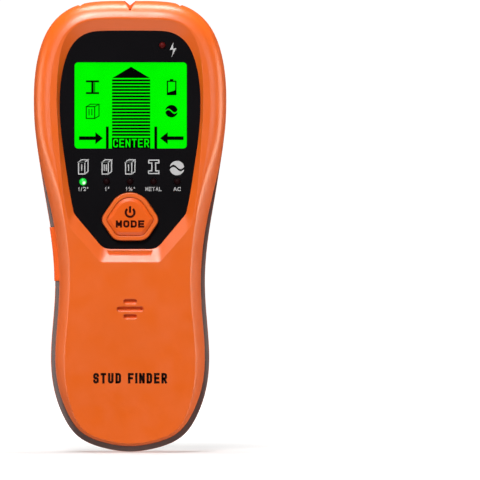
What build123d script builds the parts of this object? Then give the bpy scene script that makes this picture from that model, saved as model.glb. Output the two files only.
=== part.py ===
"""Hand-held stud finder with a backlit display, run from a 9 V battery.

Millimetres. It stands upright on its rounded lower end: +Z is up, the face with the display looks
along -Y, and the flat back, which is held against the wall, is at +Y. The origin is at the middle
of the lower end. A depth is a Y value, so the front of the casing is at -depth / 2.
"""

from build123d import *
import os
from math import hypot, pi, radians, tan

os.makedirs("parts", exist_ok=True)

# ---------------------------------------------------------------- driving dimensions
height = 155.9
depth = 30.0
wall = 2.0
rear_wall = 2.8
clearance = 0.1
fit = 0.05

front = -depth / 2
back = depth / 2
inner_front = front + wall
inner_back = back - wall

# Right half of the casing's widest outline as (half width, height), bottom middle to top middle
silhouette = [
    (0, 0), (9.1, 1.25), (18.3, 5.5), (23.5, 13.1), (26.8, 24.2), (27.4, 33), (26.4, 48), (25.9, 58.6),
    (27.4, 76.6), (29.35, 88), (31.1, 98.7), (32.2, 106), (33.3, 121), (31.7, 137.3), (26.2, 149),
    (19.5, 153.9), (9.7, 155.8), (0, height),
]

# Joint between the two shells, and the soft strip that lies in it
head_joint = 1.5
strip_front = -1.0
strip_back = 4.0
strip_tip_z = 106.0
strip_full_z = 90.0
strip_out = 0.2
strip_in = 2.0
lip_in = 3.4
lip_root = 5.5

# Front shell: side wall, rounded band, ridge, then the sunk window
shell_step = 2.0
step_low_z = 80.0
step_high_z = 110.0
shoulder = front + 7.0
window_front = front + 2.0
window_thickness = 1.2
window_back = window_front + window_thickness
floor_back = window_back + 1.4
pocket_floor = window_front - 0.1
collar_top = window_front - 1.5
back_round = back - 3.5
front_notch_low = 152.1
rear_notch_low = 154.4
speaker_z = 49.5
slot_pitch = 2.6
slot_width = 1.6
slot_depth = 1.0

# Display, lamps and mode key
display_middle_z = 119.5
display_width = 38.7
display_height = 29.7
lamp_z = 93.3
lamp_pitch = 8.1
collar_rim = 1.6
lamp_radius = 1.2
lamp_places = [(lamp_pitch * place, lamp_z) for place in range(-2, 3)]
warning_lamp_place = (11.1, 140.2)
key_middle_z = 81.0
side_key_proud = -0.3
glass_width = 43.0
glass_height = 35.8
glass_back = floor_back + 2.2
frame_wall = 0.8
backlight_height = 30.6

# Boards
board_thickness = 1.6
board_inset = 5.6
board_low = 60.0
board_high = 149.0
sensor_low = 92.0
board_front = -5.5
board_back = board_front + board_thickness
sensor_board_back = inner_back - 0.2
sensor_board_front = sensor_board_back - board_thickness

# Battery, standing with its terminals up in a box that the rear shell holds
battery_width = 26.5
battery_depth = 17.5
battery_body_height = 46.4
stud_height = 2.0
stud_pitch = 12.7
bay_wall = 1.5
bay_width = battery_width + 0.7
bay_low = 10.7
bay_high = 65.5
bay_front = -5.3
battery_middle_y = (bay_front + inner_back - 0.5) / 2
battery_low = bay_low + 0.2
battery_top = battery_low + battery_body_height
snap_thickness = 3.5
lead_y = 4.5
lead_radius = 0.6

# Door that slides down off the back
door_half_width = 14.3
door_high = 66.2
tongue = 0.8
tongue_front = inner_back + 0.6
tongue_back = tongue_front + 0.6

# Screws
head_screw_places = [(-20.0, 141.5), (20.0, 141.5)]
handle_screw_places = [(-19.6, 24.0), (19.6, 24.0)]
case_screw_places = head_screw_places + handle_screw_places
case_screw_radius = 1.3
case_screw_head = 2.35
case_screw_tip = -9.0
screw_seat = 7.0
boss_radius = 2.9
handle_boss_front = -12.0
board_screw_places = [(-24.8, 120.0), (24.8, 120.0), (-18.8, 86.5), (18.8, 86.5)]
board_screw_radius = 1.0
board_screw_tip = -9.8
board_post_radius = 2.4


# ---------------------------------------------------------------- helpers
def inset(outline, amount):
    """The half outline moved inwards along its normals; amount is a number or a function of height."""
    first, last = outline[0], outline[-1]
    below = (-outline[1][0], outline[1][1])
    above = (-outline[-2][0], outline[-2][1])
    before = [below] + outline[:-1]
    after = outline[1:] + [above]
    moved = []
    for (x0, z0), (x1, z1), (x2, z2) in zip(before, outline, after):
        run_in = (x1 - x0) ** 2 + (z1 - z0) ** 2
        run_out = (x2 - x1) ** 2 + (z2 - z1) ** 2
        along_x = (x1 - x0) / run_in + (x2 - x1) / run_out
        along_z = (z1 - z0) / run_in + (z2 - z1) / run_out
        distance = (amount(z1) if callable(amount) else amount) / hypot(along_x, along_z)
        on_axis = (x1, z1) in (first, last)
        moved.append((0 if on_axis else x1 - along_z * distance, z1 + along_x * distance))
    return moved


def step(value, low, high):
    """Smooth step from 0 at low to 1 at high."""
    share = min(max((value - low) / (high - low), 0), 1)
    return share * share * (3 - 2 * share)


def edge_inset(z):
    """How far the front shell's edge stands in from the silhouette, at a height."""
    return shell_step * (1 - step(z, step_low_z, step_high_z))


def ridge_inset(z):
    """How far the ridge round the front face stands in from the silhouette, at a height."""
    return 3.2 + 1.4 * step(z, 0, 30) + 1.5 * z / height


def band_inset(z):
    """The middle of the rounded band between the edge and the ridge, flatter along the handle."""
    edge = edge_inset(z)
    return edge + (ridge_inset(z) - edge) * (0.45 + 0.3 * edge / shell_step)


def mirrored(outline):
    """The same points on the other side of the middle, in reverse order."""
    return [(-x, z) for x, z in reversed(outline)]


def outline_face(outline, y):
    """The face inside a half outline and its mirror image, at depth y."""
    with BuildSketch(Plane.XZ.offset(-y)) as sketch:
        with BuildLine():
            Spline(*reversed(outline), *reversed(mirrored(outline[1:-1])), periodic=True)
        make_face()
    return sketch.sketch


def at_height(sketch, z):
    """The sketch's corners at a height."""
    return sketch.vertices().filter_by(lambda vertex: abs(vertex.Y - z) < 0.01)


def window_face(side_inset, top_inset, corner, foot, radii, y):
    """The window's outline at depth y: the casing's curve above, two diagonals and a flat foot below."""
    stations = [place for place in silhouette if place[1] > corner[1] + 5]

    def amount(z):
        return side_inset(z) + top_inset * step(z, 125, height)

    side = [corner] + inset([(0, 0)] + stations, amount)[1:-1]
    top = inset([(0, 0)] + stations, amount)[-1]
    with BuildSketch(Plane.XZ.offset(-y)) as sketch:
        with BuildLine():
            Polyline(*mirrored([foot, corner]), foot, corner)
            Spline(*side, top, *mirrored(side))
        make_face()
        for point, radius in ((foot, radii[0]), (corner, radii[1])):
            fillet(at_height(sketch, point[1]), radius)
    return sketch.sketch


def key_face(shrink, y):
    """The mode key's rounded outline at depth y, smaller by shrink than the collar's outer edge."""
    with BuildSketch(Plane.XZ.offset(-y)) as sketch:
        with BuildLine():
            Polyline((0, 95.4), (-10.35, 80.2), (-5.5, 73.0), (5.5, 73.0), (10.35, 80.2), close=True)
        make_face()
        for z, radius in ((95.4, 7.5), (80.2, 3.2), (73.0, 4.4)):
            fillet(at_height(sketch, z), radius)
        if shrink:
            offset(amount=-shrink)
    return sketch.sketch


def rods(places, radius, y_front, y_back):
    """Round rods along Y at (x, z) places."""
    with BuildPart() as made:
        with BuildSketch(Plane.XZ.offset(-y_back)):
            with Locations(*places):
                Circle(radius)
        extrude(amount=y_back - y_front)
    return made.part


def block(x_range, y_range, z_range):
    """A box between two values along each axis."""
    with BuildPart() as made:
        with BuildSketch(Plane.XY.offset(z_range[0])):
            with Locations(((x_range[0] + x_range[1]) / 2, (y_range[0] + y_range[1]) / 2)):
                Rectangle(x_range[1] - x_range[0], y_range[1] - y_range[0])
        extrude(amount=z_range[1] - z_range[0])
    return made.part


def notch(x, half_width, low, y_front, y_back):
    """A V notch in the top edge with its point at height low."""
    with BuildPart() as made:
        with BuildSketch(Plane.XZ.offset(-y_back)):
            with BuildLine():
                over = height + 1
                grown = half_width * (over - low) / (height - low)
                Polyline((x, low), (x + grown, over), (x - grown, over), close=True)
            make_face()
        extrude(amount=y_back - y_front)
    return made.part


def side_prism(points):
    """A prism along X that is wider than the casing, from (y, z) points."""
    with BuildPart() as made:
        with BuildSketch(Plane.YZ.offset(-height / 2)):
            with BuildLine():
                Polyline(*points, close=True)
            make_face()
        extrude(amount=height)
    return made.part


def ring(outer, inner, y_front, y_back):
    """The space between two insets of the silhouette, as a wall along Y."""
    with BuildPart() as made:
        extrude(outline_face(inset(silhouette, outer), y_back), amount=y_back - y_front)
        extrude(
            outline_face(inset(silhouette, inner), y_back), amount=y_back - y_front, mode=Mode.SUBTRACT
        )
    return made.part


def finish(name, part):
    """Labels a finished piece and writes it."""
    part.label = name
    export_step(part, f"parts/{name}.step")


# ---------------------------------------------------------------- spaces that several pieces share
far = 2 * height
behind_strip_front = side_prism(
    [(head_joint, far), (head_joint, strip_tip_z), (strip_front, strip_full_z), (strip_front, -far),
     (far, -far), (far, far)]
)
ahead_of_strip_back = side_prism(
    [(head_joint, far), (head_joint, strip_tip_z), (strip_back, strip_full_z), (strip_back, -far),
     (-far, -far), (-far, far)]
)
strip_zone = side_prism(
    [(head_joint, strip_tip_z), (strip_front, strip_full_z), (strip_front, -10), (strip_back, -10),
     (strip_back, strip_full_z)]
)
below_strip_tip = block((-far, far), (-far, far), (-10, strip_tip_z))

side_notches = [notch(x, 2.2, 153.8, front - 1, back + 1) for x in (-17.2, 17.2)]
side_key_low = 59.1
side_key_high = 77.7
side_key_back = 3.1
side_key_opening = block(
    (-40, -18), (strip_front - 0.5, side_key_back + clearance), (side_key_low - 0.2, side_key_high + 0.2)
)

# ---------------------------------------------------------------- front shell
bezel_outer = window_face(
    lambda z: ridge_inset(z) + 0.9 + 1.4 * step(z, 85, 112), -1.8, (20.7, 77.5), (10.2, 65.6), (2.0, 9.0), front
)
bezel_backing = window_face(
    lambda z: ridge_inset(z) + 0.4, 0.0, (21.6, 76.0), (11.0, 63.6), (4.0, 9.0), floor_back
)
window_outline = window_face(
    lambda z: ridge_inset(z) + 3.3, 1.2, (19.3, 82.3), (9.1, 70.1), (5.0, 4.0), window_front
)
notch_block = block((-4, 4), (front + 3, head_joint), (149.8, height - 1.2))
with BuildPart() as foot_pocket:
    with BuildSketch(Plane.XZ.offset(-pocket_floor)):
        with BuildLine():
            Polyline((-7.9, 69.6), (7.9, 69.6), (7.0, 68.0), (-7.0, 68.0), close=True)
        make_face()
    extrude(amount=pocket_floor - front)

with BuildPart() as front_hollow:
    loft(
        [
            outline_face(inset(silhouette, lambda z: edge_inset(z) + wall), head_joint + 1),
            outline_face(inset(silhouette, lambda z: edge_inset(z) + wall), head_joint),
            outline_face(inset(silhouette, lambda z: edge_inset(z) + wall + 0.5), shoulder),
            outline_face(inset(silhouette, lambda z: ridge_inset(z) + wall), inner_front),
        ],
        ruled=True,
    )
    extrude(bezel_backing, amount=floor_back - front, mode=Mode.SUBTRACT)
    add(notch_block, mode=Mode.SUBTRACT)

with BuildPart() as front_shell:
    loft(
        [
            outline_face(inset(silhouette, edge_inset), head_joint),
            outline_face(inset(silhouette, lambda z: edge_inset(z) + 0.5), shoulder),
            outline_face(inset(silhouette, band_inset), front + 1.6),
            outline_face(inset(silhouette, ridge_inset), front),
        ]
    )
    add(front_hollow.part, mode=Mode.SUBTRACT)
    # Sunk bezel and the seat that the window lies on
    loft([bezel_outer, window_outline], ruled=True, mode=Mode.SUBTRACT)
    extrude(window_outline, amount=-window_thickness, mode=Mode.SUBTRACT)
    # Flat pocket in the slope under the window
    add(foot_pocket.part, mode=Mode.SUBTRACT)
    # Collar round the mode key
    extrude(key_face(0, window_back), amount=window_thickness)
    extrude(key_face(0, window_front), amount=window_front - collar_top, taper=8)
    extrude(key_face(collar_rim, floor_back), amount=floor_back - front, mode=Mode.SUBTRACT)
    # Display opening and lamp holes through the seat
    with BuildSketch(Plane.XZ.offset(-floor_back)):
        with Locations((0, display_middle_z)):
            RectangleRounded(display_width + 0.6, display_height + 0.6, 1.4)
        with Locations(*lamp_places, warning_lamp_place):
            Circle(lamp_radius + fit)
    extrude(amount=floor_back - window_back, mode=Mode.SUBTRACT)
    # Posts for the case screws and the main board, each with its screw hole
    add(rods(head_screw_places, boss_radius, floor_back, head_joint))
    add(rods(handle_screw_places, boss_radius, handle_boss_front, strip_front))
    add(rods(board_screw_places, board_post_radius, floor_back, board_front))
    add(rods(case_screw_places, case_screw_radius + fit, case_screw_tip, head_joint), mode=Mode.SUBTRACT)
    add(rods(board_screw_places, board_screw_radius + fit, board_screw_tip, board_front), mode=Mode.SUBTRACT)
    add(behind_strip_front, mode=Mode.SUBTRACT)
    # Speaker grooves: one long, with a short one above and below
    with BuildSketch(Plane.XZ.offset(-front - slot_depth)):
        with Locations((0, speaker_z)):
            SlotOverall(9.1, slot_width)
        with Locations((0, speaker_z - slot_pitch), (0, speaker_z + slot_pitch)):
            SlotOverall(4.6, slot_width)
    extrude(amount=slot_depth, mode=Mode.SUBTRACT)
    # Marking notches in the top edge
    add(notch(0, 2.3, front_notch_low, front - 1, head_joint + 1), mode=Mode.SUBTRACT)
    add(side_notches, mode=Mode.SUBTRACT)
finish("front_shell", front_shell.part)

# ---------------------------------------------------------------- rear shell
def rear_body(y_front):
    """The casing's solid shape behind y_front, with the rounded edge of its back."""
    with BuildPart() as made:
        extrude(outline_face(silhouette, back_round), amount=back_round - y_front)
        loft(
            [
                outline_face(silhouette, back_round),
                outline_face(inset(silhouette, 0.7), back - 1),
                outline_face(inset(silhouette, 2.2), back),
            ]
        )
    return made.part


bay_half_width = bay_width / 2
bay_outer_half_width = bay_half_width + bay_wall
door_top = door_high + clearance
door_slot = block(
    (-door_half_width - clearance, door_half_width + clearance), (inner_back, back + 1), (-10, door_top)
)
tongue_slot = block(
    (-door_half_width - tongue - clearance, door_half_width + tongue + clearance),
    (tongue_front - clearance, tongue_back + clearance), (-10, door_top),
)
bay_outer = block(
    (-bay_outer_half_width, bay_outer_half_width), (bay_front - bay_wall, inner_back),
    (bay_low - bay_wall, bay_high + bay_wall),
)
bay_inner = block((-bay_half_width, bay_half_width), (bay_front, inner_back), (bay_low, bay_high))
lead_way = block((-4.5, 4.5), (lead_y - 1.5, lead_y + 1.5), (bay_high, bay_high + bay_wall))

with BuildPart() as rear_hollow:
    extrude(outline_face(inset(silhouette, rear_wall), inner_back), amount=inner_back - strip_front)

with BuildPart() as rear_lip:
    add(ring(strip_in, lip_in, strip_front, lip_root))
    add(behind_strip_front, mode=Mode.INTERSECT)
    add(below_strip_tip, mode=Mode.INTERSECT)

with BuildPart() as rear_shell:
    add(rear_body(strip_front))
    add(rear_hollow.part, mode=Mode.SUBTRACT)
    add(ahead_of_strip_back, mode=Mode.SUBTRACT)
    add(rear_lip.part)
    add(bay_outer)
    # Screw posts, counterbored from the back
    add(rods(head_screw_places, boss_radius, head_joint, inner_back))
    add(rods(handle_screw_places, boss_radius, strip_front, inner_back))
    add(rods(case_screw_places, case_screw_radius + clearance, strip_front, back), mode=Mode.SUBTRACT)
    add(rods(case_screw_places, case_screw_head + clearance, screw_seat, back), mode=Mode.SUBTRACT)
    for space in (bay_inner, door_slot, tongue_slot, lead_way, side_key_opening):
        add(space, mode=Mode.SUBTRACT)
    # Marking notches
    add(notch(0, 1.8, rear_notch_low, front, back + 1), mode=Mode.SUBTRACT)
    add(side_notches, mode=Mode.SUBTRACT)
finish("rear_shell", rear_shell.part)

# ---------------------------------------------------------------- soft grip strip
with BuildPart() as side_grip_band:
    add(ring(strip_out, strip_in, strip_front, strip_back))
    add(strip_zone, mode=Mode.INTERSECT)
    add(side_key_opening, mode=Mode.SUBTRACT)
finish("side_grip_band", side_grip_band.part)

# ---------------------------------------------------------------- window and lamps
with BuildPart() as display_window:
    extrude(window_outline, amount=-window_thickness)
    extrude(key_face(-clearance, window_back), amount=window_thickness, mode=Mode.SUBTRACT)
    add(rods(lamp_places + [warning_lamp_place], lamp_radius + fit, window_front, window_back),
        mode=Mode.SUBTRACT)
finish("display_window", display_window.part)

with BuildPart() as lamp:
    add(rods([(0, 0)], lamp_radius + 0.4, floor_back + clearance, board_front))
    add(rods([(0, 0)], lamp_radius, window_front - 0.4, floor_back + clearance))
    fillet(lamp.edges().group_by(Axis.Y)[0], 1.1)

for number, (x, z) in enumerate(lamp_places, start=1):
    finish(f"mode_led_{number}", Pos(x, 0, z) * lamp.part)
finish("ac_warning_led", Pos(warning_lamp_place[0], 0, warning_lamp_place[1]) * lamp.part)


# ---------------------------------------------------------------- display behind the window
def display_plate(width, tall, y_front, y_back):
    """A rectangular plate centred on the display."""
    low = display_middle_z - tall / 2
    return block((-width / 2, width / 2), (y_front, y_back), (low, low + tall))


finish("lcd_glass", display_plate(glass_width, glass_height, floor_back, glass_back))
finish("lcd_backlight", display_plate(glass_width - 2, backlight_height, glass_back, board_front))

with BuildPart() as lcd_frame:
    add(display_plate(glass_width + 2 * frame_wall, glass_height + 2 * frame_wall, floor_back, board_front))
    add(display_plate(glass_width, glass_height, floor_back, board_front), mode=Mode.SUBTRACT)
finish("lcd_frame", lcd_frame.part)

with BuildPart() as lcd_zebra_strips:
    with BuildSketch(Plane.XZ.offset(-board_front)):
        with Locations((0, display_middle_z)):
            with GridLocations(1, glass_height - 2.2, 1, 2):
                Rectangle(glass_width - 4, 1.8)
    extrude(amount=board_front - glass_back)
finish("lcd_zebra_strips", lcd_zebra_strips.part)

# ---------------------------------------------------------------- main board
board_notch_half_width = bay_outer_half_width + 0.6
with BuildPart() as main_board:
    extrude(outline_face(inset(silhouette, board_inset), board_back), amount=board_thickness)
    add(block((-far, far), (front, back), (-10, board_low)), mode=Mode.SUBTRACT)
    add(block((-board_notch_half_width, board_notch_half_width), (front, back), (-10, bay_high + 2.4)),
        mode=Mode.SUBTRACT)
    add(block((-far, far), (front, back), (board_high, far)), mode=Mode.SUBTRACT)
    add(rods(head_screw_places, boss_radius + 0.3, board_front, board_back), mode=Mode.SUBTRACT)
    add(rods(board_screw_places, board_screw_radius + fit, board_front, board_back), mode=Mode.SUBTRACT)
finish("main_board", main_board.part)

with BuildPart() as microcontroller:
    with BuildSketch(Plane.XZ.offset(-board_back)):
        with Locations((0, 109)):
            Rectangle(10, 10)
    extrude(amount=-1.4)
    chamfer(microcontroller.faces().sort_by(Axis.Y)[-1].edges(), 0.3)
    # Leads along all four sides
    with BuildSketch(Plane.XZ.offset(-board_back)):
        with Locations((0, 109)):
            for turn in (0, 90):
                with Locations(Rotation(0, 0, turn)):
                    with GridLocations(0.8, 11.2, 11, 2):
                        Rectangle(0.4, 1.3)
    extrude(amount=-0.3)
finish("microcontroller", microcontroller.part)

with BuildPart() as quartz_crystal:
    with BuildSketch(Plane.XZ.offset(-board_back)):
        with Locations((12.5, 109)):
            SlotOverall(10, 4.2, rotation=90)
    extrude(amount=-3.2)
finish("quartz_crystal", quartz_crystal.part)

with BuildPart() as surface_mount_parts:
    with BuildSketch(Plane.XZ.offset(-board_back)):
        for middle, columns, rows in (((-14, 112), 3, 5), ((12.5, 96), 4, 3)):
            with Locations(middle):
                with GridLocations(4.2, 3.4, columns, rows):
                    Rectangle(2.0, 1.25)
    extrude(amount=-0.6)
finish("surface_mount_parts", surface_mount_parts.part)

with BuildPart() as board_screws:
    add(rods(board_screw_places, board_screw_radius, board_screw_tip + 0.4, board_back))
    add(rods(board_screw_places, 1.9, board_back, board_back + 1.4))
    add(rods(board_screw_places, 0.55, board_back + 0.7, board_back + 1.4), mode=Mode.SUBTRACT)
finish("board_screws", board_screws.part)

# ---------------------------------------------------------------- mode key and its switch
cap_gap = 0.15
cap_rim = window_front - 1.2
cap_face = front + 0.1
flange_front = floor_back + clearance
flange_back = flange_front + 1.1
switch_front = board_front - 2.6
with BuildPart() as mode_key:
    extrude(key_face(collar_rim + cap_gap, flange_front), amount=flange_front - cap_rim)
    loft(
        [key_face(collar_rim + cap_gap, cap_rim), key_face(collar_rim + cap_gap + 1.2, cap_face)], ruled=True
    )
    extrude(key_face(collar_rim - 0.8, flange_back), amount=flange_back - flange_front)
finish("mode_key", mode_key.part)

plunger_radius = 1.7
with BuildPart() as mode_switch:
    add(block((-3, 3), (switch_front, board_front), (key_middle_z - 3, key_middle_z + 3)))
    add(rods([(0, key_middle_z)], plunger_radius + fit, switch_front, switch_front + 1.5), mode=Mode.SUBTRACT)
finish("mode_switch", mode_switch.part)
finish("mode_switch_plunger", rods([(0, key_middle_z)], plunger_radius, flange_back, switch_front + 0.6))

# ---------------------------------------------------------------- side key and its switch
side_key_middle_z = (side_key_low + side_key_high) / 2
side_key_inner_x = -22.0
side_flange_z = (side_key_low - 1.4, side_key_high + 1.4)


def key_slab(out, y_range, z_range):
    """A slab between an inset of the silhouette's left side and the key's flat inner face."""
    with BuildPart() as made:
        extrude(outline_face(inset(silhouette, out), y_range[1]), amount=y_range[1] - y_range[0])
        add(block((-far, side_key_inner_x), y_range, z_range), mode=Mode.INTERSECT)
    return made.part


with BuildPart() as side_key:
    add(key_slab(side_key_proud, (strip_front + 0.05, side_key_back), (side_key_low, side_key_high)))
    outer_ends = side_key.edges().filter_by(Axis.Y).sort_by(Axis.X)[:2]
    fillet(outer_ends, 1.8)
    add(key_slab(lip_in + 0.3, (strip_front + 0.1, side_key_back - 0.1), side_flange_z))
finish("side_key", side_key.part)

side_switch_x = (-20.6, -16.9)
side_plunger_y = (strip_front + side_key_back) / 2
side_plunger_radius = 1.5
with BuildPart() as side_switch:
    add(block(side_switch_x, (board_back, 3.9), (side_key_middle_z - 3, side_key_middle_z + 3)))
    with BuildSketch(Plane.YZ.offset(side_switch_x[0])):
        with Locations((side_plunger_y, side_key_middle_z)):
            Circle(side_plunger_radius + fit)
    extrude(amount=1.9, mode=Mode.SUBTRACT)
finish("side_switch", side_switch.part)

with BuildPart() as side_switch_plunger:
    with BuildSketch(Plane.YZ.offset(side_key_inner_x)):
        with Locations((side_plunger_y, side_key_middle_z)):
            Circle(side_plunger_radius)
    extrude(amount=side_switch_x[0] + 0.9 - side_key_inner_x)
finish("side_switch_plunger", side_switch_plunger.part)

# ---------------------------------------------------------------- sounder
with BuildPart() as piezo_buzzer:
    add(rods([(0, speaker_z)], 9.0, inner_front, inner_front + 3.5))
    add(rods([(0, speaker_z)], 1.5, inner_front, inner_front + 0.8), mode=Mode.SUBTRACT)
finish("piezo_buzzer", piezo_buzzer.part)

# ---------------------------------------------------------------- sensor board in the head
with BuildPart() as sensor_board:
    extrude(outline_face(inset(silhouette, 4.5), sensor_board_back), amount=board_thickness)
    add(block((-far, far), (front, back), (-10, sensor_low)), mode=Mode.SUBTRACT)
    add(rods(head_screw_places, boss_radius + 0.3, front, back), mode=Mode.SUBTRACT)
finish("sensor_board", sensor_board.part)

with BuildPart() as sensor_plates:
    with BuildSketch(Plane.XZ.offset(-inner_back)):
        with Locations((0, 120)):
            with GridLocations(15, 1, 3, 1):
                Rectangle(12, 35)
    extrude(amount=inner_back - sensor_board_back)
finish("sensor_plates", sensor_plates.part)

with BuildPart() as metal_coil:
    with BuildSketch(Plane.XZ.offset(-sensor_board_front)):
        with Locations((0, 120)):
            RectangleRounded(46, 34, 8)
            RectangleRounded(40, 28, 5, mode=Mode.SUBTRACT)
    extrude(amount=2.6)
finish("metal_coil", metal_coil.part)

with BuildPart() as board_link_header:
    with BuildSketch(Plane.XZ.offset(-sensor_board_front)):
        with Locations((0, 97.5)):
            Rectangle(15.24, 2.5)
    extrude(amount=2.5)
    with BuildSketch(Plane.XZ.offset(-sensor_board_front)):
        with Locations((0, 97.5)):
            with GridLocations(2.54, 1, 6, 1):
                Rectangle(0.64, 0.64)
    extrude(amount=sensor_board_front - board_back)
finish("board_link_header", board_link_header.part)

# ---------------------------------------------------------------- battery and its snap connector
with BuildPart() as battery:
    with BuildSketch(Plane.XY.offset(battery_low)):
        with Locations((0, battery_middle_y)):
            RectangleRounded(battery_width, battery_depth, 2.2)
    extrude(amount=battery_body_height)
    fillet(battery.edges().group_by(Axis.Z)[-1] + battery.edges().group_by(Axis.Z)[0], 0.5)
finish("battery", battery.part)

positive_x = -stud_pitch / 2
negative_x = stud_pitch / 2
stud_top = battery_top + stud_height
cap_low = stud_top + 0.3


def tube(x, outer, inner, z_low, z_high):
    """A round post on the battery's terminals, hollow when inner is given."""
    with BuildPart() as made:
        with BuildSketch(Plane.XY.offset(z_low)):
            with Locations((x, battery_middle_y)):
                Circle(outer)
                if inner:
                    Circle(inner, mode=Mode.SUBTRACT)
        extrude(amount=z_high - z_low)
    return made.part


finish("battery_positive_stud", tube(positive_x, 2.85, 0, battery_top, stud_top))
with BuildPart() as battery_negative_stud:
    with BuildSketch(Plane.XY.offset(battery_top)):
        with Locations((negative_x, battery_middle_y)):
            RegularPolygon(4.5, 6)
            Circle(3.4, mode=Mode.SUBTRACT)
    extrude(amount=stud_height)
finish("battery_negative_stud", battery_negative_stud.part)

with BuildPart() as battery_snap_contacts:
    add(tube(positive_x, 3.9, 2.9, battery_top + 0.3, cap_low))
    add(tube(negative_x, 3.35, 0, battery_top + 0.3, cap_low))
finish("battery_snap_contacts", battery_snap_contacts.part)

with BuildPart() as battery_snap:
    with BuildSketch(Plane.XY.offset(cap_low)):
        with Locations((0, battery_middle_y)):
            RectangleRounded(25.4, 12.6, 4)
    extrude(amount=snap_thickness)
    fillet(battery_snap.edges().group_by(Axis.Z)[-1], 0.8)
finish("battery_snap", battery_snap.part)

# ---------------------------------------------------------------- leads from the snap to the main board
lead_start_z = cap_low + snap_thickness
lead_end_z = lead_start_z + 11.5


def lead(x):
    """A lead up out of the battery box and forward to the board's back, with tangent arcs."""
    route = [
        Vector(x, lead_y, lead_start_z), Vector(x, lead_y, lead_start_z + 6.5),
        Vector(x, lead_y - 3.8, lead_end_z), Vector(x, board_back, lead_end_z),
    ]
    runs = [(after - before) for before, after in zip(route, route[1:])]
    radii = []
    for run_in, run_out in zip(runs, runs[1:]):
        half_turn = radians(run_in.get_angle(run_out)) / 2
        radii.append(0.45 * min(run_in.length, run_out.length) / tan(half_turn))
    with BuildPart() as made:
        with BuildLine():
            path = FilletPolyline(*route, radius=radii)
        with BuildSketch(Plane(origin=route[0], z_dir=(0, 0, 1))):
            Circle(lead_radius)
        sweep(path=path)
    print(f"lead: radii {[round(r, 1) for r in radii]}, length {path.length:.1f},",
          f"volume {made.part.volume:.2f} against {pi * lead_radius ** 2 * path.length:.2f}")
    return made.part


finish("battery_lead_red", lead(-2.4))
finish("battery_lead_black", lead(2.4))

# ---------------------------------------------------------------- battery door
door_space = block((-door_half_width, door_half_width), (inner_back + clearance, back), (-10, door_high))
tongues = block((-door_half_width - tongue, door_half_width + tongue), (tongue_front, tongue_back),
                (-10, door_high))
with BuildPart() as battery_door:
    add(door_space)
    add(tongues)
    add(rear_body(back_round - 1), mode=Mode.INTERSECT)
    # Grooves for the thumb, in the upper part of the back
    with BuildSketch(Plane.XZ.offset(-back)):
        with Locations((0, door_high - 9)):
            with GridLocations(1, 2.2, 1, 5):
                SlotOverall(14, 1.2)
    extrude(amount=0.5, mode=Mode.SUBTRACT)
finish("battery_door", battery_door.part)

# ---------------------------------------------------------------- case screws
with BuildPart() as case_screws:
    add(rods(case_screw_places, case_screw_radius, case_screw_tip + 0.5, screw_seat))
    add(rods(case_screw_places, case_screw_head, screw_seat, screw_seat + 1.8))
    for turn in (0, 90):
        with BuildSketch(Plane.XZ.offset(-screw_seat - 1.8)):
            with Locations(*case_screw_places):
                Rectangle(2.4, 0.6, rotation=turn)
        extrude(amount=0.9, mode=Mode.SUBTRACT)
finish("case_screws", case_screws.part)
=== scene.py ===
import bmesh
import bpy
from math import cos, pi, radians, sin
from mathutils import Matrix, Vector


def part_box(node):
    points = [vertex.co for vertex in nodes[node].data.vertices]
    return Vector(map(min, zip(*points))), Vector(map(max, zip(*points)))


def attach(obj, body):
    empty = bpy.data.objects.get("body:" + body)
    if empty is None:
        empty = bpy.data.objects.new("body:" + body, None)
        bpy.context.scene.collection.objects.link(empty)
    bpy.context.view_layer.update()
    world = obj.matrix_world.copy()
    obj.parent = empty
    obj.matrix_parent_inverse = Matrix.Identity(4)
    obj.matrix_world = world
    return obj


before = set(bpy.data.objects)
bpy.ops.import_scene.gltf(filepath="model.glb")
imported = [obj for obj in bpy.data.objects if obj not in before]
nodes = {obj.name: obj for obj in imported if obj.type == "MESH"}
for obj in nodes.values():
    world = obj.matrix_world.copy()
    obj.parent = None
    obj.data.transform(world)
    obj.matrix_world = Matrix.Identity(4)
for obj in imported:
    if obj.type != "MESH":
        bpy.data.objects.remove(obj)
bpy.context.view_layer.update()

MM = 0.001
LEFT, RIGHT = -1, 1


# ---------------------------------------------------------------- camera
OBJECT_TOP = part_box("rear_shell")[1].z
FACE_DEPTH = -0.005
OBJECT_SHARE = 0.9415
TOP_ABOVE_MIDDLE = 0.4993
SHIFT_RIGHT = 0.229
PICTURE_WIDTH = OBJECT_TOP / OBJECT_SHARE
CAMERA_DISTANCE = 3.0
SENSOR = 36.0


def add_camera():
    """Looks straight at the display side, with the object left of the picture's middle."""
    data = bpy.data.cameras.new("camera")
    data.sensor_width = SENSOR
    data.lens = SENSOR * CAMERA_DISTANCE / PICTURE_WIDTH
    data.shift_x = SHIFT_RIGHT
    data.clip_end = 20
    camera = bpy.data.objects.new("camera", data)
    bpy.context.scene.collection.objects.link(camera)
    camera.location = (0, -CAMERA_DISTANCE + FACE_DEPTH, OBJECT_TOP - TOP_ABOVE_MIDDLE * PICTURE_WIDTH)
    camera.rotation_euler = (radians(90), 0, 0)
    bpy.context.scene.camera = camera


# ---------------------------------------------------------------- materials
def srgb(red, green, blue):
    """A linear colour from 0 to 255 display values."""
    def linear(value):
        share = value / 255
        return share / 12.92 if share <= 0.04045 else ((share + 0.055) / 1.055) ** 2.4
    return (linear(red), linear(green), linear(blue), 1.0)


def scaled(colour, factor):
    """The colour made brighter or darker."""
    return tuple(min(channel * factor, 1.0) for channel in colour[:3]) + (1.0,)


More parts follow.
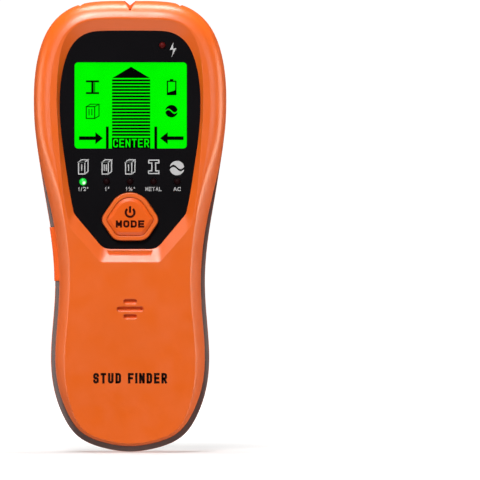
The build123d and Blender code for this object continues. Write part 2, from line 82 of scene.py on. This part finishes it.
class Shader:
    """A node material with one Principled shader, and short calls for what drives it."""

    def __init__(self, name):
        self.material = bpy.data.materials.new(name)
        self.material.use_nodes = True
        self.tree = self.material.node_tree
        self.surface = self.tree.nodes["Principled BSDF"]
        self.output = self.tree.nodes["Material Output"]
        self.place = self.node("ShaderNodeTexCoord").outputs["Object"]

    def node(self, kind, **settings):
        made = self.tree.nodes.new(kind)
        for key, value in settings.items():
            setattr(made, key, value)
        return made

    def link(self, output, socket):
        self.tree.links.new(output, socket)

    def set(self, **values):
        """Sets the shader's own sockets; an underscore stands for a space."""
        for key, value in values.items():
            self.surface.inputs[key.replace("_", " ")].default_value = value
        return self

    def noise(self, size, detail=2.0, stretch=(1, 1, 1)):
        """Noise whose features are about size metres across."""
        made = self.node("ShaderNodeTexNoise")
        made.inputs["Scale"].default_value = 1 / size
        made.inputs["Detail"].default_value = detail
        if stretch == (1, 1, 1):
            self.link(self.place, made.inputs["Vector"])
        else:
            mapping = self.node("ShaderNodeMapping")
            mapping.inputs["Scale"].default_value = stretch
            self.link(self.place, mapping.inputs["Vector"])
            self.link(mapping.outputs["Vector"], made.inputs["Vector"])
        return made.outputs["Fac"]

    def spread(self, value, low, high, start=0.3, end=0.7):
        """A value between start and end, spread over low to high."""
        made = self.node("ShaderNodeMapRange")
        for key, number in (("From Min", start), ("From Max", end), ("To Min", low), ("To Max", high)):
            made.inputs[key].default_value = number
        self.link(value, made.inputs["Value"])
        return made.outputs["Result"]

    def math(self, operation, first, second=0.0):
        """One step of arithmetic on outputs or numbers."""
        made = self.node("ShaderNodeMath", operation=operation)
        for socket, value in zip(made.inputs, (first, second)):
            if isinstance(value, (int, float)):
                socket.default_value = value
            else:
                self.link(value, socket)
        return made.outputs[0]

    def mix(self, factor, first, second):
        """One colour or the other, by factor."""
        made = self.node("ShaderNodeMix", data_type="RGBA")
        self.link(factor, made.inputs["Factor"])
        for socket, value in ((made.inputs[6], first), (made.inputs[7], second)):
            if isinstance(value, tuple):
                socket.default_value = value
            else:
                self.link(value, socket)
        return made.outputs[2]

    def colour(self, output):
        self.link(output, self.surface.inputs["Base Color"])
        return self

    def roughness(self, output):
        self.link(output, self.surface.inputs["Roughness"])
        return self

    def bump(self, height, depth, strength=1.0, edge=0.0):
        """Bumps of a real depth in metres; edge softens corners by that radius."""
        made = self.node("ShaderNodeBump")
        made.inputs["Distance"].default_value = depth
        made.inputs["Strength"].default_value = strength
        self.link(height, made.inputs["Height"])
        if edge:
            soft = self.node("ShaderNodeBevel", samples=6)
            soft.inputs["Radius"].default_value = edge
            self.link(soft.outputs["Normal"], made.inputs["Normal"])
        self.link(made.outputs["Normal"], self.surface.inputs["Normal"])
        return self


def moulded(name, colour, rough=0.4, grain=0.00035, depth=0.00002, edge=0.0, shade=0.9, **values):
    """Moulded plastic or rubber: fine spark grain, slight colour flow and uneven gloss."""
    made = Shader(name).set(**values)
    flow = made.spread(made.noise(0.03, 3.0), 0, 1)
    made.colour(made.mix(flow, scaled(colour, shade), colour))
    made.roughness(made.spread(made.noise(0.006, 4.0), rough - 0.05, rough + 0.05))
    return made.bump(made.noise(grain, 3.0), depth, edge=edge).material


def metal(name, colour, rough=0.3, stretch=(1, 1, 12)):
    """Plated or brushed metal with fine lines along one axis."""
    made = Shader(name).set(Metallic=1.0)
    lines = made.noise(0.0006, 4.0, stretch)
    made.colour(made.mix(made.spread(lines, 0, 1), scaled(colour, 0.8), colour))
    made.roughness(made.spread(lines, rough - 0.08, rough + 0.12))
    return made.bump(lines, 0.000004).material


def board(name, colour):
    """Circuit board: solder mask over faint copper tracks."""
    made = Shader(name).set(Coat_Weight=0.4)
    tracks = made.node("ShaderNodeTexBrick", offset=0.37)
    tracks.inputs["Scale"].default_value = 90
    tracks.inputs["Mortar Size"].default_value = 0.012
    tracks.inputs["Color1"].default_value = colour
    tracks.inputs["Color2"].default_value = scaled(colour, 0.85)
    tracks.inputs["Mortar"].default_value = scaled(colour, 1.9)
    turned = made.node("ShaderNodeMapping")
    turned.inputs["Rotation"].default_value = (radians(90), 0, 0)
    made.link(made.place, turned.inputs["Vector"])
    made.link(turned.outputs["Vector"], tracks.inputs["Vector"])
    made.colour(tracks.outputs["Color"])
    made.roughness(made.spread(made.noise(0.004), 0.3, 0.42))
    return made.bump(tracks.outputs["Fac"], 0.00003).material


def emitter(made, colour, strength):
    """Gives a shader light of its own: colour is an output or a fixed colour."""
    if isinstance(colour, tuple):
        made.surface.inputs["Emission Color"].default_value = colour
    else:
        made.link(colour, made.surface.inputs["Emission Color"])
    made.surface.inputs["Emission Strength"].default_value = strength
    return made


ORANGE = srgb(240, 101, 12)
GREEN = (0.0, 1.0, 0.0, 1.0)
WARM = (1.0, 0.9, 0.7)


def window_material():
    """Clear gloss plate, printed black behind except over the display."""
    made = Shader("window")
    low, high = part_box("lcd_backlight")
    middle = (low + high) / 2
    middle += Vector((0.2 * MM, 0, 0.05 * MM))
    half_width, half_height, corner = 19.3 * MM, 14.8 * MM, 1.2 * MM
    split = made.node("ShaderNodeSeparateXYZ")
    made.link(made.place, split.inputs["Vector"])
    beyond = []
    for axis, centre, half in (("X", middle.x, half_width), ("Z", middle.z, half_height)):
        away = made.math("ABSOLUTE", made.math("SUBTRACT", split.outputs[axis], centre))
        beyond.append(made.math("MAXIMUM", made.math("SUBTRACT", away, half - corner), 0.0))
    squares = [made.math("MULTIPLY", value, value) for value in beyond]
    distance = made.math("SQRT", made.math("ADD", squares[0], squares[1]))
    clear = made.math("LESS_THAN", distance, corner)
    black = srgb(17, 16, 18)
    pane_sheen = 0.03
    made.set(IOR=1.49, Specular_IOR_Level=0.3)
    made.colour(made.mix(made.spread(made.noise(0.02), 0, 1), black, scaled(black, 1.25)))
    made.roughness(made.spread(made.noise(0.01, 3.0), 0.06, 0.12))
    made.bump(made.noise(0.012, 1.0), 0.000008)
    through = made.node("ShaderNodeBsdfTransparent")
    gloss = made.node("ShaderNodeBsdfGlossy")
    gloss.inputs["Roughness"].default_value = 0.06
    pane = made.node("ShaderNodeMixShader")
    pane.inputs[0].default_value = pane_sheen
    made.link(through.outputs[0], pane.inputs[1])
    made.link(gloss.outputs[0], pane.inputs[2])
    both = made.node("ShaderNodeMixShader")
    made.link(clear, both.inputs[0])
    made.link(made.surface.outputs[0], both.inputs[1])
    made.link(pane.outputs[0], both.inputs[2])
    made.link(both.outputs[0], made.output.inputs["Surface"])
    return made.material


def display_material():
    """Lit green panel, very slightly uneven, as an edge-lit plate is."""
    made = Shader("display_green").set(Roughness=0.4, Specular_IOR_Level=0.0)
    made.surface.inputs["Base Color"].default_value = (0.0, 0.05, 0.0, 1.0)
    glow = made.mix(made.spread(made.noise(0.012, 2.0), 0, 1), (0.0, 0.93, 0.0, 1.0), GREEN)
    made.bump(made.noise(0.0003), 0.000003)
    return emitter(made, glow, 1.0).material


def segment_material():
    """Dark, dull segments of the display."""
    made = Shader("display_segments").set(Roughness=0.6, Specular_IOR_Level=0.0)
    ink = srgb(2, 6, 2)
    made.colour(made.mix(made.spread(made.noise(0.002), 0, 1), ink, scaled(ink, 1.6)))
    return made.bump(made.noise(0.0002), 0.000002).material


def lit_lamp_material(node):
    """Lit lamp: glowing green dome with a painted white highlight towards its lower right."""
    made = Shader("lamp_lit").set(Roughness=0.25)
    low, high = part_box(node)
    # Painted highlight: the emission turns white around this point, low and to the right of the dome's
    # middle.
    spark = Vector(((low.x + high.x) / 2 + 0.45 * MM, low.y, (low.z + high.z) / 2 - 0.5 * MM))
    away = made.node("ShaderNodeVectorMath", operation="DISTANCE")
    made.link(made.place, away.inputs[0])
    away.inputs[1].default_value = spark
    near = made.spread(away.outputs["Value"], 1, 0, 0.25 * MM, 0.85 * MM)
    made.surface.inputs["Base Color"].default_value = srgb(10, 120, 40)
    made.bump(made.noise(0.0004), 0.000004)
    return emitter(made, made.mix(near, srgb(6, 205, 50), (1.0, 1.0, 1.0, 1.0)), 1.0).material


def make_materials():
    """Every material, by a short name."""
    orange = moulded("orange_plastic", ORANGE, 0.38, grain=0.0004, depth=0.00003, edge=0.0004, shade=0.95,
                     Specular_IOR_Level=0.9)
    return {
        "orange": orange,
        "key_orange": moulded("key_plastic", srgb(240, 96, 12), 0.38, grain=0.0003, depth=0.000012,
                              edge=0.00025, shade=0.95),
        "rubber": moulded("grip_rubber", srgb(112, 104, 102), 0.7, grain=0.0003, depth=0.00003, edge=0.0002),
        "window": window_material(),
        "display": display_material(),
        "segment": segment_material(),
        "black_plastic": moulded("black_plastic", srgb(28, 28, 30), 0.45),
        "white_plastic": moulded("white_plastic", srgb(225, 223, 214), 0.4),
        "light_plate": moulded("light_plate", srgb(190, 240, 200), 0.2, Transmission_Weight=0.4),
        "contact_rubber": moulded("contact_rubber", srgb(150, 95, 120), 0.6),
        "board": board("circuit_board", srgb(20, 96, 42)),
        "ceramic": moulded("ceramic", srgb(120, 88, 58), 0.5, grain=0.0002),
        "steel": metal("plated_steel", srgb(200, 198, 192)),
        "copper": metal("copper", srgb(205, 122, 78), 0.35),
        "gold": metal("gold_plating", srgb(222, 180, 90), 0.25),
        "wrap": moulded("battery_wrap", srgb(42, 56, 128), 0.3, Metallic=0.5),
        "red_lead": moulded("red_lead", srgb(190, 22, 18), 0.4),
        "black_lead": moulded("black_lead", srgb(18, 18, 18), 0.4),
        "lamp_dark": moulded("lamp_dark", srgb(27, 10, 12), 0.35, depth=0.000003, Specular_IOR_Level=0.03),
        "lamp_red": moulded("lamp_red", srgb(88, 18, 18), 0.35, depth=0.000003, Specular_IOR_Level=0.1),
        "lamp_lit": lit_lamp_material("mode_led_1"),
        "print_grey": moulded("print_grey", srgb(196, 196, 196), 0.5, grain=0.0002, depth=0.000004),
        "print_dark": moulded("print_dark", srgb(52, 6, 2), 0.6, grain=0.0002, depth=0.000004,
                              Specular_IOR_Level=0.1),
        "print_black": moulded("print_black", srgb(26, 8, 5), 0.6, grain=0.0002, depth=0.000004,
                               Specular_IOR_Level=0.1),
    }


NODE_MATERIALS = {
    "orange": ["front_shell", "rear_shell", "battery_door", "side_key"],
    "key_orange": ["mode_key"],
    "rubber": ["side_grip_band"],
    "window": ["display_window"],
    "display": ["lcd_glass"],
    "light_plate": ["lcd_backlight"],
    "black_plastic": ["lcd_frame", "microcontroller", "mode_switch", "side_switch", "piezo_buzzer",
                      "battery_snap"],
    "white_plastic": ["mode_switch_plunger", "side_switch_plunger"],
    "contact_rubber": ["lcd_zebra_strips"],
    "board": ["main_board", "sensor_board"],
    "ceramic": ["surface_mount_parts"],
    "steel": ["quartz_crystal", "board_screws", "case_screws", "battery_positive_stud",
              "battery_negative_stud", "battery_snap_contacts"],
    "copper": ["sensor_plates", "metal_coil"],
    "gold": ["board_link_header"],
    "wrap": ["battery"],
    "red_lead": ["battery_lead_red"],
    "black_lead": ["battery_lead_black"],
    "lamp_lit": ["mode_led_1"],
    "lamp_dark": ["mode_led_2", "mode_led_3", "mode_led_4", "mode_led_5"],
    "lamp_red": ["ac_warning_led"],
}


def dress(materials):
    """Gives every CAD node its material."""
    for key, names in NODE_MATERIALS.items():
        for name in names:
            for slot in nodes[name].material_slots:
                slot.material = materials[key]


# ---------------------------------------------------------------- printed marks
INK = 0.02 * MM
SAME_PLACE = 1e-7
MITRE_LIMIT = 0.4
CURVE_STEPS = 4
LETTER_GAP = 0.17
LETTER_BEND = 0.5


def arc(centre, radius, start, end, steps=24):
    """Points along an arc, angles in degrees from +X towards +Z."""
    turns = [radians(start + (end - start) * step / steps) for step in range(steps + 1)]
    return [(centre[0] + radius * cos(turn), centre[1] + radius * sin(turn)) for turn in turns]


def box_points(x, z, width, tall):
    """A rectangle about (x, z)."""
    return [(x - width / 2, z - tall / 2), (x + width / 2, z - tall / 2),
            (x + width / 2, z + tall / 2), (x - width / 2, z + tall / 2)]


def band(points, width, closed=False):
    """A line of even width along points, with mitred corners, as four-sided pieces."""
    count = len(points)
    left, right = [], []
    for index in range(count):
        here = Vector(points[index])
        before = Vector(points[index - 1]) if closed or index else here
        after = Vector(points[(index + 1) % count]) if closed or index < count - 1 else here
        into = (here - before).normalized() if before != here else (after - here).normalized()
        out = (after - here).normalized() if after != here else into
        across = Vector((-(into.y + out.y), into.x + out.x)).normalized()
        reach = width / 2 / max(across.dot(Vector((-into.y, into.x))), MITRE_LIMIT)
        left.append(tuple(here + across * reach))
        right.append(tuple(here - across * reach))
    last = count if closed else count - 1
    return [[left[i], right[i], right[(i + 1) % count], left[(i + 1) % count]] for i in range(last)]


def mark(name, shapes, depth, body, material):
    """Thin raised ink from (x, z) outlines in millimetres, its back at depth, towards -Y."""
    built = bmesh.new()
    for shape in shapes:
        corners = [built.verts.new((x * MM, depth, z * MM)) for x, z in shape]
        built.faces.new(corners)
    bmesh.ops.remove_doubles(built, verts=built.verts, dist=SAME_PLACE)
    front = bmesh.ops.extrude_face_region(built, geom=list(built.faces))
    moved = [item for item in front["geom"] if isinstance(item, bmesh.types.BMVert)]
    bmesh.ops.translate(built, verts=moved, vec=(0, -INK, 0))
    bmesh.ops.recalc_face_normals(built, faces=built.faces)
    mesh = bpy.data.meshes.new(name)
    built.to_mesh(mesh)
    built.free()
    place(name, mesh, body, material)


def place(name, mesh, body, material):
    """Links a finished mesh, which rides on a body."""
    mesh.materials.append(material)
    piece = bpy.data.objects.new(name, mesh)
    bpy.context.scene.collection.objects.link(piece)
    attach(piece, body)


def rounded(points, radius):
    """The line with its inner corners rounded."""
    line = [points[0]]
    for before, here, after in zip(points, points[1:], points[2:]):
        corner = Vector(here)
        back = Vector(before) - corner
        onward = Vector(after) - corner
        reach = min(radius, back.length / 2, onward.length / 2)
        start = corner + back.normalized() * reach
        end = corner + onward.normalized() * reach
        for step in range(CURVE_STEPS + 1):
            share = step / CURVE_STEPS
            bend = start.lerp(corner, share).lerp(corner.lerp(end, share), share)
            line.append(tuple(bend))
    return line + [points[-1]]


def extended(points, extra):
    """The line with both its ends drawn out by extra."""
    head, after = Vector(points[0]), Vector(points[1])
    tail, before = Vector(points[-1]), Vector(points[-2])
    first = head + (head - after).normalized() * extra
    last = tail + (tail - before).normalized() * extra
    return [tuple(first), *points[1:-1], tuple(last)]


# Each letter as pen strokes in a box 1 wide and 1 tall; a stroke with True has rounded corners
LETTERS = {
    "A": [([(0, 0), (0.42, 0.95)], False), ([(0.58, 0.95), (1, 0)], False),
          ([(0.3, 0.3), (0.7, 0.3)], False)],
    "C": [([(1, 0.75), (1, 1), (0, 1), (0, 0), (1, 0), (1, 0.25)], True)],
    "D": [([(0, 1), (0, 0)], False), ([(0, 1), (1, 1), (1, 0), (0, 0)], True)],
    "E": [([(1, 1), (0, 1), (0, 0), (1, 0)], False), ([(0, 0.5), (0.9, 0.5)], False)],
    "F": [([(1, 1), (0, 1), (0, 0)], False), ([(0, 0.5), (0.85, 0.5)], False)],
    "I": [([(0.5, 1), (0.5, 0)], False)],
    "L": [([(0, 1), (0, 0), (1, 0)], False)],
    "M": [([(0, 0), (0, 1)], False), ([(1, 0), (1, 1)], False),
          ([(0.08, 0.9), (0.5, 0.3)], False), ([(0.92, 0.9), (0.5, 0.3)], False)],
    "N": [([(0, 0), (0, 1)], False), ([(1, 0), (1, 1)], False), ([(0.08, 0.9), (0.92, 0.1)], False)],
    "O": [([(0.5, 1), (0, 1), (0, 0), (1, 0), (1, 1), (0.5, 1)], True)],
    "R": [([(0, 1), (0, 0)], False), ([(0, 1), (1, 1), (1, 0.45), (0, 0.45)], True),
          ([(0.5, 0.45), (1, 0)], False)],
    "S": [([(1, 0.8), (1, 1), (0, 1), (0, 0.5), (1, 0.5), (1, 0), (0, 0), (0, 0.2)], True)],
    "T": [([(0, 1), (1, 1)], False), ([(0.5, 1), (0.5, 0)], False)],
    "U": [([(0, 1), (0, 0), (1, 0), (1, 1)], True)],
    "1": [([(0.2, 0.75), (0.6, 1), (0.6, 0)], False)],
    "2": [([(0, 0.7), (0, 1), (1, 1), (1, 0.55), (0, 0), (1, 0)], True)],
    "½": [([(0.05, 0.85), (0.2, 1), (0.2, 0.6)], False), ([(0.25, 0), (0.8, 1)], False),
          ([(0.65, 0.4), (1, 0.4), (0.65, 0), (1, 0)], False)],
    "/": [([(0.2, 0), (0.8, 1)], False)],
    '"': [([(0.3, 1), (0.3, 0.7)], False), ([(0.7, 1), (0.7, 0.7)], False)],
}

# Letters that take less than a whole letter's width
NARROW = {"I": 0.35, "1": 0.6, "/": 0.6, '"': 0.6, " ": 0.6}


def word(text, x, z, width, tall, pen):
    """Letter strokes for a word centred on x with its foot at z, all in millimetres."""
    shares = [NARROW.get(letter, 1.0) for letter in text]
    gap = LETTER_GAP * tall
    unit = (width - gap * (len(text) - 1)) / sum(shares)
    shapes = []
    left = x - width / 2
    for letter, share in zip(text, shares):
        wide, high = unit * share - pen, tall - pen
        for points, smooth in LETTERS.get(letter, []):
            placed = [(left + pen / 2 + a * wide, z + pen / 2 + b * high) for a, b in points]
            placed = extended(placed, pen / 2)
            if smooth:
                placed = rounded(placed, LETTER_BEND * min(wide, high))
            shapes += band(placed, pen)
        left += unit * share + gap
    return shapes


def wave_disc(centre, radius, gap):
    """The two halves of a disc that a wave splits, as on an alternating-current sign."""
    steps = 16
    wave = [(centre[0] + radius * (2 * step / steps - 1) * 0.995,
             centre[1] - 0.3 * radius * sin(2 * pi * (step / steps - 0.5))) for step in range(steps + 1)]
    upper = [(x, z + gap / 2) for x, z in wave]
    lower = [(x, z - gap / 2) for x, z in wave]
    over = arc(centre, radius, 12, 168)
    under = arc(centre, radius, 192, 348)
    return [over + upper[1:-1], under + lower[1:-1][::-1]]


def battery_sign(x, z):
    """A nearly empty battery in outline, with its terminal on top."""
    left, right, low, high = x - 1.45, x + 1.45, z - 2.3, z + 2.3
    outline = band([(left, low), (right, low), (right, high), (left, high)], 0.42, closed=True)
    terminal = box_points(x, high + 0.45, 1.2, 0.6)
    charge = [(left + 0.05, low), (right - 0.05, low), (right - 0.05, low + 1.6), (left + 0.05, low + 0.7)]
    return outline + [terminal, charge]


BOLT = [(14.9, 141.2), (13.6, 138.6), (14.85, 138.8), (14.3, 136.2), (15.95, 139.25), (14.75, 139.1)]


def beam(x, z, width, tall, flange, web):
    """An I-beam seen from its end."""
    rise = tall / 2
    return [
        box_points(x, z + rise - flange / 2, width, flange),
        box_points(x, z - rise + flange / 2, width, flange),
        box_points(x, z, web, tall - 2 * flange),
    ]


def beam_outline(x, z, width, tall, flange, web, line):
    """The outline of an I-beam's end."""
    half, rise, core = width / 2, tall / 2, web / 2
    right = [(core, rise - flange), (half, rise - flange), (half, rise)]
    corners = right + [(-a, b) for a, b in reversed(right)]
    corners += [(a, -b) for a, b in reversed(corners)]
    return band([(x + a, z + b) for a, b in corners], line, closed=True)


def stud(x, z, width, tall, line, grain):
    """A cut length of timber in outline, drawn at a slant, with grain lines on its end."""
    left, right, low, high = x - width / 2, x + width / 2, z - tall / 2, z + tall / 2
    slant, rise = 0.34 * width, 0.17 * tall
    shapes = band([(left, low), (right - slant, low), (right - slant, high - rise), (left, high - rise)],
                  line, closed=True)
    shapes += band([(left, high - rise), (left + slant, high), (right, high), (right - slant, high - rise)],
                   line, closed=True)
    shapes += band([(right, high), (right, low + rise), (right - slant, low)], line)
    for number in range(grain):
        at = left + (right - slant - left) * (number + 1) / (grain + 1)
        shapes += band([(at, low + 0.22 * tall), (at, high - rise - 0.16 * tall)], line * 0.9)
    return shapes


def arrow(tip_x, z, tail_x, shaft, head_long, head_wide):
    """A straight arrow along X."""
    side = 1 if tip_x > tail_x else -1
    neck = tip_x - side * head_long
    return [[(tail_x, z - shaft / 2), (neck, z - shaft / 2), (neck, z - head_wide / 2), (tip_x, z),
             (neck, z + head_wide / 2), (neck, z + shaft / 2), (tail_x, z + shaft / 2)]]


def display_marks(materials):
    """The display's dark segments and the green word in the lowest one."""
    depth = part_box("lcd_glass")[0].y
    middle_x = 0.35
    top_bar_z, bar_pitch, bar_count = 128.2, 1.105, 18
    foot_z = 106.5
    shapes = [[(middle_x - 6.5, 129.0), (middle_x + 6.5, 129.0), (middle_x, 132.9)]]
    shapes += [box_points(middle_x, top_bar_z - bar_pitch * row, 13.1, 0.68) for row in range(bar_count)]
    shapes.append(box_points(middle_x, foot_z, 13.2, 4.0))
    shapes += [box_points(middle_x + side, 108.4, 0.95, 7.8) for side in (-8.2, 8.5)]
    for tip_x, tail_x in ((-9.35, -17.6), (10.35, 18.4)):
        shapes += arrow(tip_x, 108.3, tail_x, shaft=1.25, head_long=2.6, head_wide=4.1)
    shapes += beam(-12.95, 125.85, 4.5, 4.7, flange=0.65, web=0.8)
    shapes += band([(-12.2, 124.2), (-12.2, 127.5)], 0.25)
    shapes += stud(-12.9, 117.55, 4.4, 4.9, line=0.32, grain=2)
    shapes += battery_sign(14.3, 125.6)
    shapes += wave_disc((14.25, 117.6), 2.15, gap=0.5)
    mark("display_segments", shapes, depth, "casing", materials["segment"])
    letters = word("CENTER", middle_x, 105.15, 12.4, 2.9, 0.42)
    mark("display_word", letters, depth - INK - 0.01 * MM, "casing", materials["display"])


def window_marks(materials):
    """Grey signs and words printed on the window."""
    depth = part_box("display_window")[0].y
    ink = materials["print_grey"]
    sign_z, label_z = 98.4, 90.1
    shapes = []
    for x, grain in ((-16.1, 1), (-8.0, 2), (0.05, 1)):
        shapes += stud(x, sign_z, 3.25, 4.9, line=0.36, grain=grain)
    shapes += beam_outline(8.15, sign_z, 3.5, 4.6, flange=0.95, web=1.3, line=0.38)
    shapes += wave_disc((16.15, 98.0), 2.5, gap=0.75)
    shapes.append(BOLT)
    mark("window_signs", shapes, depth, "casing", ink)
    labels = [('1/2"', -16.1, 3.6), ('1"', -7.9, 1.6), ('1½"', 0.1, 3.5),
              ("METAL", 8.1, 5.6), ("AC", 16.2, 2.5)]
    for number, (label, x, width) in enumerate(labels, start=1):
        letters = word(label, x, label_z, width, 1.35, 0.2)
        mark(f"window_label_{number}", letters, depth, "casing", ink)


def key_marks(materials):
    """Power sign and word on the mode key."""
    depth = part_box("mode_key")[0].y
    ink = materials["print_dark"]
    ring = band(arc((0, 82.7), 1.5, 128, 412, 32), 0.78)
    stem = box_points(0, 83.75, 0.72, 2.3)
    mark("key_power_sign", ring + [stem], depth, "mode_key", ink)
    mark("key_word", word("MODE", 0, 77.5, 9.8, 2.5, 0.68), depth, "mode_key", ink)


def handle_marks(materials):
    """A plain description low on the handle."""
    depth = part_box("front_shell")[0].y
    letters = word("STUD FINDER", 0, 23.9, 25.4, 3.6, 0.8)
    mark("handle_word", letters, depth, "casing", materials["print_black"])


# ---------------------------------------------------------------- studio
def cove_material():
    """White sweep, self-lit away from the object, with a faint sheen that mirrors its foot."""
    made = Shader("studio_white").set(Roughness=0.7, Specular_IOR_Level=0.0)
    white = srgb(190, 190, 190)
    made.colour(made.mix(made.spread(made.noise(0.4), 0, 1), scaled(white, 0.985), white))
    made.bump(made.noise(0.02), 0.000002)
    away = made.node("ShaderNodeVectorMath", operation="LENGTH")
    made.link(made.place, away.inputs[0])
    made.surface.inputs["Emission Color"].default_value = (1.0, 1.0, 1.0, 1.0)
    glow = made.spread(away.outputs["Value"], 0.5, 1.2, 0.08, 0.3)
    made.link(glow, made.surface.inputs["Emission Strength"])
    gloss = made.node("ShaderNodeBsdfGlossy")
    gloss.inputs["Roughness"].default_value = 0.1
    both = made.node("ShaderNodeMixShader")
    both.inputs[0].default_value = 0.16
    made.link(made.surface.outputs[0], both.inputs[1])
    made.link(gloss.outputs[0], both.inputs[2])
    made.link(both.outputs[0], made.output.inputs["Surface"])
    return made.material


def add_studio():
    """Pale floor that sweeps up into a backdrop all round, further out than the camera."""
    inner, bend, reach, top = 0.6, 0.8, 4.5, 5.0
    sides = 48
    profile = [(reach - bend + bend * sin(turn), bend - bend * cos(turn))
               for turn in (radians(90) * step / 12 for step in range(13))]
    built = bmesh.new()
    centre = built.verts.new((0, 0, 0))
    turns = [2 * pi * side / sides for side in range(sides)]
    loops = [[built.verts.new((radius * cos(turn), radius * sin(turn), z)) for turn in turns]
             for radius, z in [(inner, 0.0)] + profile + [(reach, top)]]
    for side in range(sides):
        after = (side + 1) % sides
        built.faces.new((centre, loops[0][side], loops[0][after]))
        for near, far in zip(loops, loops[1:]):
            built.faces.new((near[side], far[side], far[after], near[after]))
    mesh = bpy.data.meshes.new("studio")
    built.to_mesh(mesh)
    built.free()
    for face in mesh.polygons:
        face.use_smooth = True
    mesh.materials.append(cove_material())
    studio = bpy.data.objects.new("studio", mesh)
    bpy.context.scene.collection.objects.link(studio)
    studio.visible_diffuse = False
    studio.visible_glossy = False
    studio.visible_shadow = False


def add_light(name, place_at, target, size, power, colour=(1, 1, 1)):
    """A soft rectangular lamp that faces a point."""
    data = bpy.data.lights.new(name, "AREA")
    data.shape = "RECTANGLE"
    data.size, data.size_y = size
    data.energy = power
    data.color = colour
    lamp = bpy.data.objects.new(name, data)
    bpy.context.scene.collection.objects.link(lamp)
    lamp.visible_camera = False
    lamp.location = place_at
    lamp.rotation_euler = (Vector(target) - Vector(place_at)).to_track_quat("-Z", "Y").to_euler()


def add_surround():
    """A pale room, darker towards the front, so the gloss of the front face stays clear."""
    world = bpy.data.worlds.new("surround")
    bpy.context.scene.world = world
    world.use_nodes = True
    tree = world.node_tree
    place_in = tree.nodes.new("ShaderNodeTexCoord")
    split = tree.nodes.new("ShaderNodeSeparateXYZ")
    shade = tree.nodes.new("ShaderNodeMapRange")
    shade.interpolation_type = "SMOOTHSTEP"
    for key, value in (("From Min", -0.95), ("From Max", -0.55), ("To Min", 0.03), ("To Max", 1.15)):
        shade.inputs[key].default_value = value
    tree.links.new(place_in.outputs["Generated"], split.inputs["Vector"])
    tree.links.new(split.outputs["Y"], shade.inputs["Value"])
    tree.links.new(shade.outputs["Result"], tree.nodes["Background"].inputs["Strength"])


def add_lights():
    """A key lamp high in front, one above, one below, and a soft box and a fill at each side."""
    middle = (0, 0, 0.08)
    add_light("key_lamp", (-0.2, -0.95, 1.0), middle, (0.45, 0.35), 17)
    add_light("top_box", (0.0, 0.1, 0.95), middle, (0.5, 0.4), 8)
    add_light("floor_bounce", (0.0, -0.3, -0.6), middle, (1.2, 0.5), 2.5)
    for name, side, power in (("left", LEFT, 6.0), ("right", RIGHT, 8.5)):
        add_light(f"{name}_box", (side * 0.88, 0.22, -0.2), middle, (0.5, 1.2), power, WARM)
        add_light(f"{name}_fill", (side * 1.0, -1.2, 0.2), middle, (0.5, 0.5), 3.0)
    add_surround()


add_camera()
materials = make_materials()
dress(materials)
display_marks(materials)
window_marks(materials)
key_marks(materials)
handle_marks(materials)
add_studio()
add_lights()
bpy.context.scene.view_settings.view_transform = "Standard"
